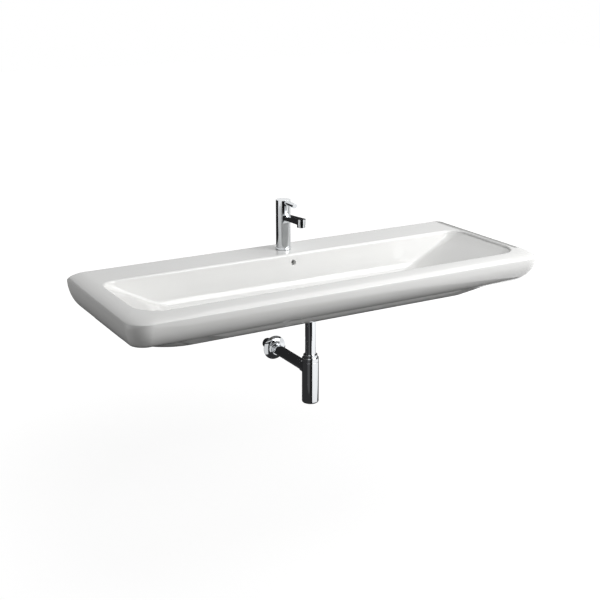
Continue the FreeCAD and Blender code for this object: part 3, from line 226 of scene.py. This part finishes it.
standing_flag("front_flag", ((-1.75, -1.60), (0.17, -1.98)),
              low=-FLOOR_DROP, high=0.45, tone=BLACK_PAINTED_REFLECTION)
standing_flag("front_wing", ((0.17, -1.98), (0.90, -2.10)),
              low=-0.60, high=0.45, tone=BLACK_PAINTED_REFLECTION)
standing_flag("left_back_flag", ((-0.45, 1.55), (-2.00, 0.66)),
              low=-FLOOR_DROP, high=0.60, tone=GREY_PAINTED_REFLECTION)
standing_flag("back_flag", ((3.0, 2.1), (-0.9, 2.1)),
              low=-FLOOR_DROP, high=0.62, tone=GREY_PAINTED_REFLECTION)
standing_flag("pipe_flag", ((0.40, 0.30), (-0.30, 0.30)),
              low=-0.50, high=0.10, tone=GREY_PAINTED_REFLECTION)
standing_flag("wall_card", ((-0.06, -0.175), (-0.18, -0.04)),
              low=-0.46, high=-0.22, tone=WHITE_PAINTED_REFLECTION, one_sided=True)
for lift, (name, tone, outline) in enumerate(FLOOR_PAINTED_SHADE, start=1):
    flag_board(name, [(x, y, BOARD_STEP * lift - FLOOR_DROP) for x, y in outline], tone)


# Basin: one casting of vitreous china, slip cast hollow, glazed and fired white.
# The face that goes against the wall isn't glazed, and stays bare and matt.
MM = 0.001
WELD = 0.02 * MM
CREASE = math.radians(34)

china_cast = nodes["basin_body"].data
basin_mesh = bpy.data.meshes.new("basin")
basin_mesh.from_pydata([v.co for v in china_cast.vertices], [],
                       [tuple(p.vertices) for p in china_cast.polygons])
basin_form = bmesh.new()
basin_form.from_mesh(basin_mesh)
bmesh.ops.remove_doubles(basin_form, verts=basin_form.verts, dist=WELD)
bmesh.ops.dissolve_degenerate(basin_form, edges=basin_form.edges, dist=WELD / 2)
for face in basin_form.faces:
    face.smooth = True
for edge in basin_form.edges:
    edge.smooth = len(edge.link_faces) == 2 and edge.calc_face_angle() < CREASE
basin_form.to_mesh(basin_mesh)
basin_form.free()
basin = bpy.data.objects.new("basin", basin_mesh)
bpy.context.collection.objects.link(basin)
even_light = basin.modifiers.new("even shading", "WEIGHTED_NORMAL")
even_light.keep_sharp = True

# Feldspar glaze on white clay: a hard clear gloss with the faint ripple of a sprayed coat.
# Its tone and gloss wander a little over a hand's breadth.
GLAZE_TONES = "#E9E9E8", "#EEEEEC"
GLAZE_CLOUD = 120 * MM
GLAZE_ROUGHNESS = 0.05, 0.11
RIPPLE, RIPPLE_DEPTH = 30 * MM, 0.06 * MM

glaze = new_material("glazed vitreous china")
glaze_place = add_node(glaze, "ShaderNodeTexCoord")
glaze_cloud = add_node(glaze, "ShaderNodeTexNoise",
                       values={"Scale": 1 / GLAZE_CLOUD, "Detail": 3.0},
                       links=[("Vector", glaze_place, "Object")])
glaze_tone = add_node(glaze, "ShaderNodeMix", {"data_type": "RGBA"},
                      {"A": srgb(GLAZE_TONES[0]), "B": srgb(GLAZE_TONES[1])},
                      [("Factor", glaze_cloud, "Fac")])
glaze_ripple = add_node(glaze, "ShaderNodeTexNoise",
                        values={"Scale": 1 / RIPPLE, "Detail": 1.0},
                        links=[("Vector", glaze_place, "Object")])
glaze_skin = add_node(glaze, "ShaderNodeBump",
                      values={"Strength": 1.0, "Distance": RIPPLE_DEPTH},
                      links=[("Height", glaze_ripple, "Fac")])
glaze_gloss = add_node(glaze, "ShaderNodeMapRange",
                       values={"To Min": GLAZE_ROUGHNESS[0], "To Max": GLAZE_ROUGHNESS[1]},
                       links=[("Value", glaze_cloud, "Fac")])
glaze_coat = add_node(glaze, "ShaderNodeBsdfPrincipled", values={"IOR": 1.52},
                      links=[("Base Color", glaze_tone, "Result"),
                             ("Roughness", glaze_gloss, "Result"),
                             ("Normal", glaze_skin, "Normal")])

# Bare fired clay on the wall face: warm, matt and sandy.
# Its grain is finer than this in truth, and drawn at 0.8 mm so that it shows.
BARE_FROM_Y = -0.6 * MM
BISCUIT_TONES = "#D6CFC2", "#E6E0D4"
BISCUIT_GRAIN, BISCUIT_DEPTH = 0.8 * MM, 0.3 * MM

biscuit_grain = add_node(glaze, "ShaderNodeTexNoise",
                         values={"Scale": 1 / BISCUIT_GRAIN, "Detail": 4.0},
                         links=[("Vector", glaze_place, "Object")])
biscuit_tone = add_node(glaze, "ShaderNodeMix", {"data_type": "RGBA"},
                        {"A": srgb(BISCUIT_TONES[0]), "B": srgb(BISCUIT_TONES[1])},
                        [("Factor", biscuit_grain, "Fac")])
biscuit_skin = add_node(glaze, "ShaderNodeBump",
                        values={"Strength": 0.6, "Distance": BISCUIT_DEPTH},
                        links=[("Height", biscuit_grain, "Fac")])
biscuit = add_node(glaze, "ShaderNodeBsdfPrincipled", values={"Roughness": 0.75},
                   links=[("Base Color", biscuit_tone, "Result"),
                          ("Normal", biscuit_skin, "Normal")])
glaze_axes = add_node(glaze, "ShaderNodeSeparateXYZ", links=[("Vector", glaze_place, "Object")])
bare = add_node(glaze, "ShaderNodeMath", {"operation": "GREATER_THAN"}, {1: BARE_FROM_Y},
                [(0, glaze_axes, "Y")])
china = add_node(glaze, "ShaderNodeMixShader",
                 links=[(0, bare, "Value"), (1, glaze_coat, "BSDF"), (2, biscuit, "BSDF")])
add_node(glaze, "ShaderNodeOutputMaterial", links=[("Surface", china, "Shader")])
basin_mesh.materials.append(glaze)

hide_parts("basin_body")
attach(basin, "root")


# Hanger bolts: four steel rods, wood thread in the wall plug and M10 thread outside.
# Cold rolled and zinc plated, so they are a bluish grey with bright thread crests.
# WAVE_STEP is the length of one wave of the wave texture at scale 1, pi / 10 metres.
WAVE_STEP = 0.31416
M10_PITCH = 1.5 * MM
THREAD_DEPTH = 0.45
ZINC_TONES = "#A9AFB5", "#C3C6C6"
ZINC_ROUGHNESS = 0.28, 0.42
ZINC_MOTTLE, ZINC_DEPTH = 2.5 * MM, 0.1 * MM


def dress(names, finish):
    """Gives the named nodes their finish."""
    for name in names:
        for place in nodes[name].material_slots:
            place.material = finish


def zinc_plate(name, axis=None, pitch=None):
    """Zinc plated steel, faintly mottled, with a rolled thread along one axis or none."""
    finish = new_material(name)
    where = add_node(finish, "ShaderNodeTexCoord")
    mottle = add_node(finish, "ShaderNodeTexNoise",
                      values={"Scale": 1 / ZINC_MOTTLE, "Detail": 3.0},
                      links=[("Vector", where, "Object")])
    tone = add_node(finish, "ShaderNodeMix", {"data_type": "RGBA"},
                    {"A": srgb(ZINC_TONES[0]), "B": srgb(ZINC_TONES[1])},
                    [("Factor", mottle, "Fac")])
    rough = add_node(finish, "ShaderNodeMapRange",
                     values={"To Min": ZINC_ROUGHNESS[0], "To Max": ZINC_ROUGHNESS[1]},
                     links=[("Value", mottle, "Fac")])
    if pitch:
        thread = add_node(finish, "ShaderNodeTexWave", {"bands_direction": axis},
                          {"Scale": WAVE_STEP / pitch, "Distortion": 0.0},
                          [("Vector", where, "Object")])
        ridge = add_node(finish, "ShaderNodeBump",
                         values={"Strength": 0.9, "Distance": pitch * THREAD_DEPTH},
                         links=[("Height", thread, "Fac")])
    else:
        ridge = add_node(finish, "ShaderNodeBump",
                         values={"Strength": 0.25, "Distance": ZINC_DEPTH},
                         links=[("Height", mottle, "Fac")])
    plate = add_node(finish, "ShaderNodeBsdfPrincipled", values={"Metallic": 1.0},
                     links=[("Base Color", tone, "Result"), ("Roughness", rough, "Result"),
                            ("Normal", ridge, "Normal")])
    add_node(finish, "ShaderNodeOutputMaterial", links=[("Surface", plate, "BSDF")])
    return finish


zinc_bolt = zinc_plate("zinc plated M10 bolt", "Y", M10_PITCH)
dress(["hanger_bolts"], zinc_bolt)


# Fixing collars: white nylon bushes that keep the steel off the china.
# Injection moulded, so they are dull white with a soft sheen and let a little light in.
# The fine texture of the mould is drawn at 1.2 mm so that it shows.
NYLON_GRAIN = 1.2 * MM
NYLON_TONES = "#E2E1DB", "#ECEBE6"
LIGHT_DEPTH = 2 * MM
MOULD_DEPTH = 0.1 * MM


def moulded(name, grain, detail, tones, relief, surface):
    """A moulded plastic or rubber: two close tones in a grain that stands a little proud."""
    finish = new_material(name)
    where = add_node(finish, "ShaderNodeTexCoord")
    grains = add_node(finish, "ShaderNodeTexNoise",
                      values={"Scale": 1 / grain, "Detail": detail},
                      links=[("Vector", where, "Object")])
    tone = add_node(finish, "ShaderNodeMix", {"data_type": "RGBA"},
                    {"A": srgb(tones[0]), "B": srgb(tones[1])}, [("Factor", grains, "Fac")])
    skin = add_node(finish, "ShaderNodeBump",
                    values={"Strength": relief, "Distance": MOULD_DEPTH},
                    links=[("Height", grains, "Fac")])
    body = add_node(finish, "ShaderNodeBsdfPrincipled", values=surface,
                    links=[("Base Color", tone, "Result"), ("Normal", skin, "Normal")])
    add_node(finish, "ShaderNodeOutputMaterial", links=[("Surface", body, "BSDF")])
    return finish


nylon = moulded("white nylon", NYLON_GRAIN, 2.0, NYLON_TONES, relief=0.3,
                surface={"Roughness": 0.42, "IOR": 1.53, "Subsurface Weight": 0.15,
                         "Subsurface Radius": (LIGHT_DEPTH, LIGHT_DEPTH, LIGHT_DEPTH)})
dress(["fixing_collars"], nylon)


# Fixing washers and nuts: pressed and cold forged steel, zinc plated.
# Plain plate without a thread in sight, dull and a little mottled.
zinc_plain = zinc_plate("zinc plated steel")
dress(["fixing_washers", "fixing_nuts"], zinc_plain)


# Tap base gasket: a ring of black EPDM rubber in the groove of the tap's foot.
# Moulded, matt and almost black, with a fine grain drawn at 0.6 mm so that it shows.
RUBBER_GRAIN = 0.6 * MM
RUBBER_TONES = "#1B1B1C", "#2B2B2C"

rubber = moulded("black EPDM rubber", RUBBER_GRAIN, 3.0, RUBBER_TONES, relief=0.5,
                 surface={"Roughness": 0.72, "IOR": 1.5})
dress(["base_gasket"], rubber)


# Tap base ring: the turned brass foot of the tap, polished and chromium plated.
# The plate is a mirror with a cold tint. Polishing by hand leaves it very slightly wavy,
# and cloths leave faint patches of haze.
CHROME_TONES = "#D5D8DB", "#DEE0E2"
CHROME_ROUGHNESS = 0.03, 0.075
POLISH_WAVE, POLISH_DEPTH = 18 * MM, 0.03 * MM
CLOTH_HAZE = 4 * MM

chrome = new_material("polished chromium plate")
chrome_place = add_node(chrome, "ShaderNodeTexCoord")
chrome_wave = add_node(chrome, "ShaderNodeTexNoise",
                       values={"Scale": 1 / POLISH_WAVE, "Detail": 1.0},
                       links=[("Vector", chrome_place, "Object")])
chrome_haze = add_node(chrome, "ShaderNodeTexNoise",
                       values={"Scale": 1 / CLOTH_HAZE, "Detail": 4.0},
                       links=[("Vector", chrome_place, "Object")])
chrome_gloss = add_node(chrome, "ShaderNodeMapRange",
                        values={"To Min": CHROME_ROUGHNESS[0], "To Max": CHROME_ROUGHNESS[1]},
                        links=[("Value", chrome_haze, "Fac")])
chrome_tone = add_node(chrome, "ShaderNodeMix", {"data_type": "RGBA"},
                       {"A": srgb(CHROME_TONES[0]), "B": srgb(CHROME_TONES[1])},
                       [("Factor", chrome_haze, "Fac")])
chrome_skin = add_node(chrome, "ShaderNodeBump",
                       values={"Strength": 0.5, "Distance": POLISH_DEPTH},
                       links=[("Height", chrome_wave, "Fac")])
chrome_body = add_node(chrome, "ShaderNodeBsdfPrincipled", values={"Metallic": 1.0},
                       links=[("Base Color", chrome_tone, "Result"),
                              ("Roughness", chrome_gloss, "Result"),
                              ("Normal", chrome_skin, "Normal")])
add_node(chrome, "ShaderNodeOutputMaterial", links=[("Surface", chrome_body, "BSDF")])
dress(["base_ring"], chrome)


# Tap body with its spout: one brass casting, ground, polished and chromium plated.
# It stands on the foot ring and is drawn down from below.
dress(["tap_body"], chrome)


# Cartridge and its carrier: a grey acetal housing in the tap body, and the part of it
# that turns with the lever. Moulded, with a dull even skin, its grain drawn at 1 mm.
ACETAL_GRAIN = 1 * MM
ACETAL_TONES = "#7E8286", "#8C9094"

acetal = moulded("grey acetal", ACETAL_GRAIN, 2.0, ACETAL_TONES, relief=0.3,
                 surface={"Roughness": 0.4, "IOR": 1.48})
dress(["cartridge", "cartridge_carrier"], acetal)


# Cartridge nut: a brass ring that holds the cartridge down, under the cap.
# Straight off the lathe it is a warm yellow with a little tarnish, and the fine rings
# of the tool are drawn at 0.4 mm so that they show.
TOOL_MARK, TOOL_DEPTH = 0.4 * MM, 0.06 * MM
TARNISH = 6 * MM
BRASS_TONES = "#B8964E", "#D3B369"

brass = new_material("turned brass")
brass_place = add_node(brass, "ShaderNodeTexCoord")
brass_rings = add_node(brass, "ShaderNodeTexWave", {"bands_direction": "Z"},
                       {"Scale": WAVE_STEP / TOOL_MARK, "Distortion": 0.4},
                       [("Vector", brass_place, "Object")])
brass_stain = add_node(brass, "ShaderNodeTexNoise",
                       values={"Scale": 1 / TARNISH, "Detail": 3.0},
                       links=[("Vector", brass_place, "Object")])
brass_tone = add_node(brass, "ShaderNodeMix", {"data_type": "RGBA"},
                      {"A": srgb(BRASS_TONES[0]), "B": srgb(BRASS_TONES[1])},
                      [("Factor", brass_stain, "Fac")])
brass_skin = add_node(brass, "ShaderNodeBump",
                      values={"Strength": 0.4, "Distance": TOOL_DEPTH},
                      links=[("Height", brass_rings, "Fac")])
brass_body = add_node(brass, "ShaderNodeBsdfPrincipled",
                      values={"Metallic": 1.0, "Roughness": 0.26},
                      links=[("Base Color", brass_tone, "Result"),
                             ("Normal", brass_skin, "Normal")])
add_node(brass, "ShaderNodeOutputMaterial", links=[("Surface", brass_body, "BSDF")])
dress(["cartridge_nut"], brass)


# Cap, carrier pin and stem: the chromed cap hides the nut, and the stem comes up
# through it on a steel pin, so the lever can lift as well as turn.
dress(["cartridge_cap"], chrome)
dress(["stem_pin"], zinc_plain)
dress(["cartridge_stem"], brass)


# Lever: a round chromed head with its thin pin, held by a grub screw.
# The screw hides behind a small plug of chromed plastic at the back.
dress(["lever_head", "lever_pin", "handle_plug"], chrome)
dress(["grub_screw"], zinc_plain)


# Aerator: a chromed ring screwed under the spout, with a grey insert and a seal.
# The insert's holes mix air into the water.
dress(["aerator_housing"], chrome)
dress(["aerator_insert"], acetal)
dress(["aerator_seal"], rubber)


# Tap fixing set: an M8 stud, a rubber and a steel horseshoe, and a brass nut.
# It clamps the tap to the deck from below.
M8_PITCH = 1.25 * MM
zinc_stud = zinc_plate("zinc plated M8 stud", "Z", M8_PITCH)
dress(["fixing_stud"], zinc_stud)
dress(["horseshoe_gasket"], rubber)
dress(["horseshoe_plate"], zinc_plain)
dress(["tap_fixing_nut"], brass)


# Waste: a chromed brass fitting through the bowl's floor, with a push plug.
# Rubber seals it to the glaze above, and a brass nut draws it up from below.
dress(["waste_body", "waste_plug"], chrome)
dress(["flange_gasket", "plug_seal", "boss_gasket"], rubber)
dress(["click_cartridge", "plug_stem", "waste_backnut"], brass)


# Bottle trap: chromed brass tube and cups, joined by hand nuts on rubber seals.
# The cup unscrews for cleaning, and the tube runs back to the wall behind a rosette.
dress(["waste_union_nut", "down_pipe", "trap_slip_nut", "trap_body", "trap_cup",
       "wall_tube", "rosette"], chrome)
dress(["union_seal", "slip_seal", "cup_seal", "outlet_seal"], rubber)
